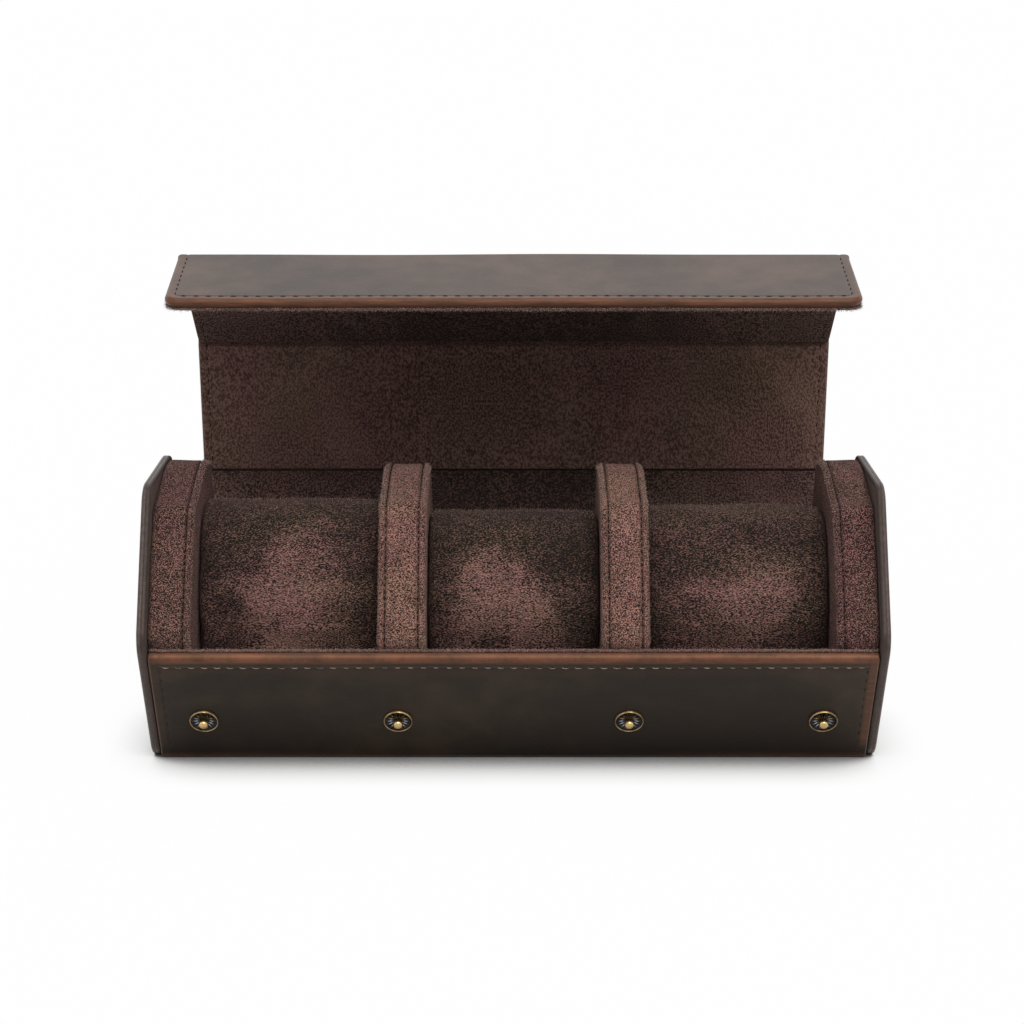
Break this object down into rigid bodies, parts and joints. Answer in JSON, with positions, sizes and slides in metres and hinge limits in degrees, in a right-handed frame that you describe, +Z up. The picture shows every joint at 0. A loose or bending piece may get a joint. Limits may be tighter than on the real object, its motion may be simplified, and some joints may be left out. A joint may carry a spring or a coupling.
{
  "type": "watch storage case",
  "caption": "Hexagonal leather travel case for wristwatches, with a folding snap-closed lid, padded dividers and lift-out suede watch pillows.",
  "frame": {"origin": "middle of the flat underside, on the surface that the case stands on", "axes": "+X along the case, -Y to the front wall with the snap studs, +Z up"},
  "size_m": [0.248, 0.1558, 0.1631],
  "materials": {
    "leather": "satin",
    "leather_facing": "matte",
    "suede": "matte",
    "board": "matte",
    "foam": "matte",
    "antique_brass": "satin",
    "black_metal": "gloss",
    "spring_steel": "satin"
  },
  "bodies": {
    "base": {"base_leather": "leather", "front_wall_board": "board", "bottom_board": "board", "back_wall_board": "board", "base_lining": "suede", "left_end_leather": "leather", "left_end_board": "board", "left_end_facing": "leather_facing", "right_end_leather": "leather", "right_end_board": "board", "right_end_facing": "leather_facing", "left_pad_cover": "suede", "left_pad_foam": "foam", "right_pad_cover": "suede", "right_pad_foam": "foam", "left_divider_cover": "suede", "left_divider_foam": "foam", "right_divider_cover": "suede", "right_divider_foam": "foam", "stud_rims": "antique_brass", "stud_dishes": "black_metal", "stud_posts": "antique_brass", "stud_washers": "antique_brass", "lid_hinge_fold": "leather"},
    "back_panel": {"back_panel_leather": "leather", "back_panel_board": "board", "back_panel_lining": "suede", "top_fold": "leather"},
    "top_panel": {"top_panel_leather": "leather", "top_panel_board": "board", "top_panel_lining": "suede", "front_fold": "leather"},
    "front_panel": {"front_panel_leather": "leather", "front_panel_board": "board", "front_panel_lining": "suede", "flap_fold": "leather"},
    "flap": {"flap_leather": "leather", "flap_board": "board", "flap_lining": "suede", "snap_sockets": "antique_brass", "socket_caps": "antique_brass", "socket_springs": "spring_steel"},
    "left_pillow": {"left_pillow_cover": "suede", "left_pillow_foam": "foam"},
    "centre_pillow": {"centre_pillow_cover": "suede", "centre_pillow_foam": "foam"},
    "right_pillow": {"right_pillow_cover": "suede", "right_pillow_foam": "foam"}
  },
  "joints": [
    {"name": "lid_hinge", "type": "hinge", "parent": "base", "child": "back_panel", "pos_m": [0, 0.05338, 0.04763], "axis": [-1, 0, 0], "range_deg": [-92, 50]},
    {"name": "top_crease", "type": "hinge", "parent": "back_panel", "child": "top_panel", "pos_m": [0, 0.10052, 0.07269], "axis": [-1, 0, 0], "range_deg": [-5, 9.1]},
    {"name": "front_crease", "type": "hinge", "parent": "top_panel", "child": "front_panel", "pos_m": [0, 0.09401, 0.12568], "axis": [-1, 0, 0], "range_deg": [-14, 46]},
    {"name": "flap_crease", "type": "hinge", "parent": "front_panel", "child": "flap", "pos_m": [0, 0.04621, 0.1617], "axis": [-1, 0, 0], "range_deg": [-10, 50]},
    {"name": "left_pillow_lift", "type": "slide", "parent": "base", "child": "left_pillow", "axis": [0, -0.5, 0.866], "range_m": [0, 0.1]},
    {"name": "centre_pillow_lift", "type": "slide", "parent": "base", "child": "centre_pillow", "axis": [0, -0.5, 0.866], "range_m": [0, 0.1]},
    {"name": "right_pillow_lift", "type": "slide", "parent": "base", "child": "right_pillow", "axis": [0, -0.5, 0.866], "range_m": [0, 0.1]}
  ],
  "couplings": [
    {"joint": "top_crease", "follows": "lid_hinge", "ratio": -0.097826}
  ]
}
